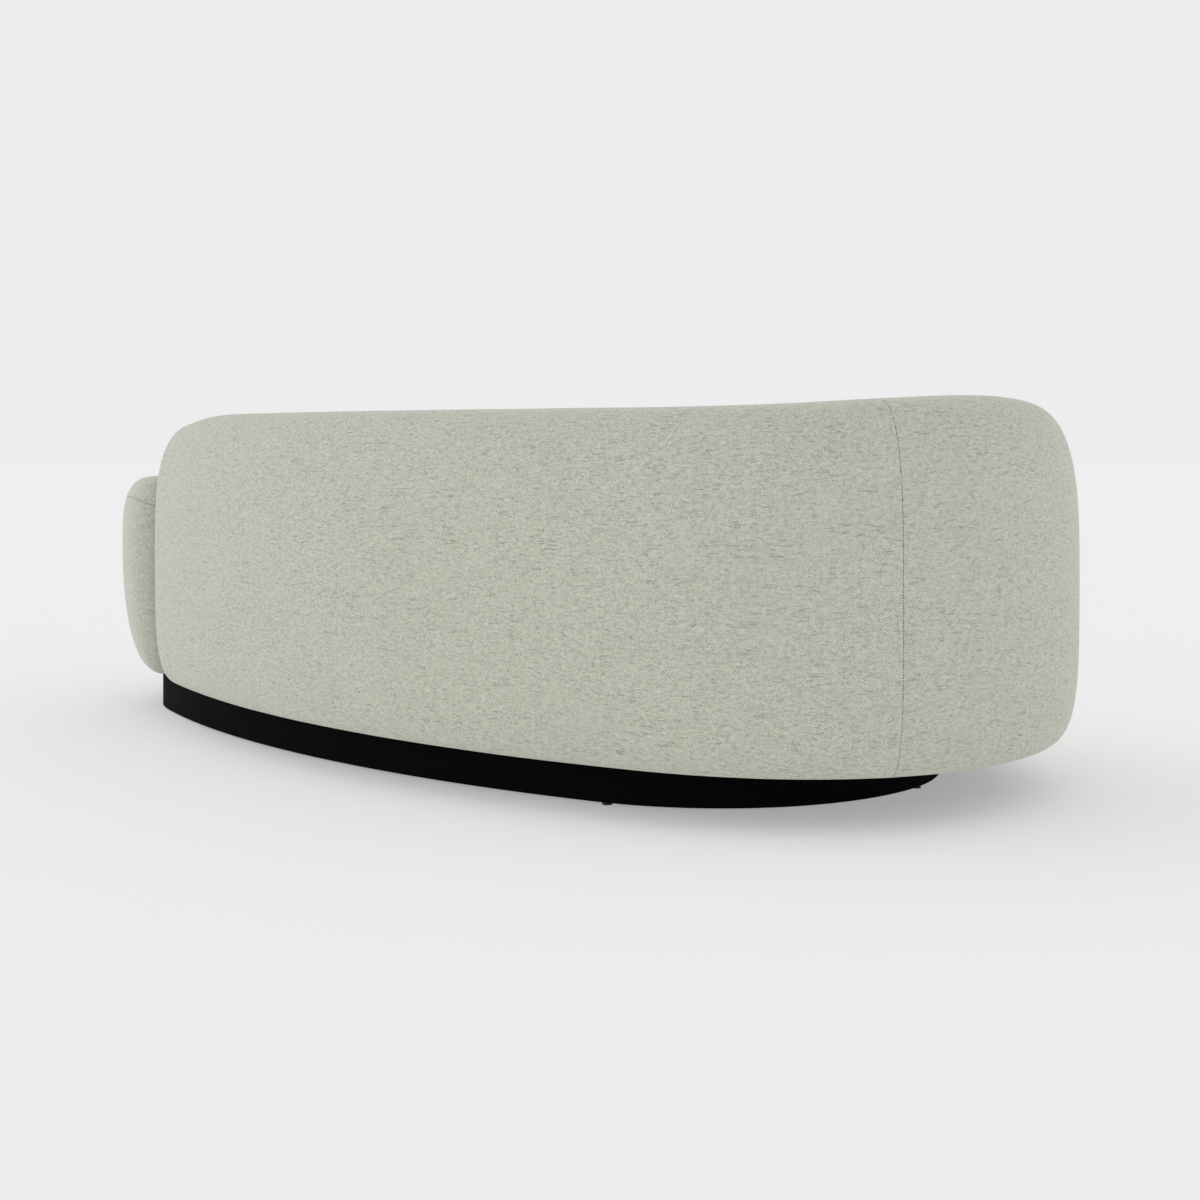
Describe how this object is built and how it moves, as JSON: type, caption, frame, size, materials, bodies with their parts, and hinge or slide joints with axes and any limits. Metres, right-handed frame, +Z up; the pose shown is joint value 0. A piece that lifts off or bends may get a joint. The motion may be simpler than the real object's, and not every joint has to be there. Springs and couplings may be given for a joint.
{
  "type": "curved corner sofa",
  "caption": "Curved corner sofa: a high back wraps the rear and one end, a low arm wraps the other, over a fixed seat and a recessed black plinth.",
  "frame": {"origin": "centre of the bounding box in plan, on the floor", "axes": "+X along the length towards the low arm, +Y towards the rear of the back, +Z up"},
  "size_m": [2.5564, 1.2445, 0.752],
  "materials": {
    "cover_fabric": "pale sage grey melange weave with short slubs",
    "upholstery_foam": "cut cream foam",
    "webbing": "black woven strap",
    "steel": "zinc plated",
    "glide_plastic": "black",
    "plinth_black": "matt black paint",
    "fibreboard": "raw",
    "plywood": "raw",
    "softwood": "planed"
  },
  "bodies": {
    "root": {"glides": "glide_plastic", "plinth_skirt": "plinth_black", "plinth_bearers": "softwood", "base_panel": "plywood", "plinth_screws": "steel", "seat_front_rail": "softwood", "seat_rear_rail": "softwood", "seat_low_end_rail": "softwood", "seat_cross_rails": "softwood", "seat_webbing": "webbing", "deck_cloth": "webbing", "seat_foam": "upholstery_foam", "seat_topper": "upholstery_foam", "seat_cover": "cover_fabric", "front_padding": "upholstery_foam", "front_cover": "cover_fabric", "back_ribs": "plywood", "rib_screws": "steel", "back_end_formers": "plywood", "back_top_rail": "plywood", "back_outer_board": "fibreboard", "back_webbing": "webbing", "back_outer_foam": "upholstery_foam", "back_inner_foam": "upholstery_foam", "back_rear_cover": "cover_fabric", "back_end_cover": "cover_fabric", "back_inner_cover": "cover_fabric", "arm_ribs": "plywood", "arm_end_formers": "plywood", "arm_top_rail": "plywood", "arm_outer_board": "fibreboard", "arm_webbing": "webbing", "arm_foam": "upholstery_foam", "arm_side_cover": "cover_fabric", "arm_inner_cover": "cover_fabric", "arm_top_cover": "cover_fabric"}
  },
  "joints": []
}
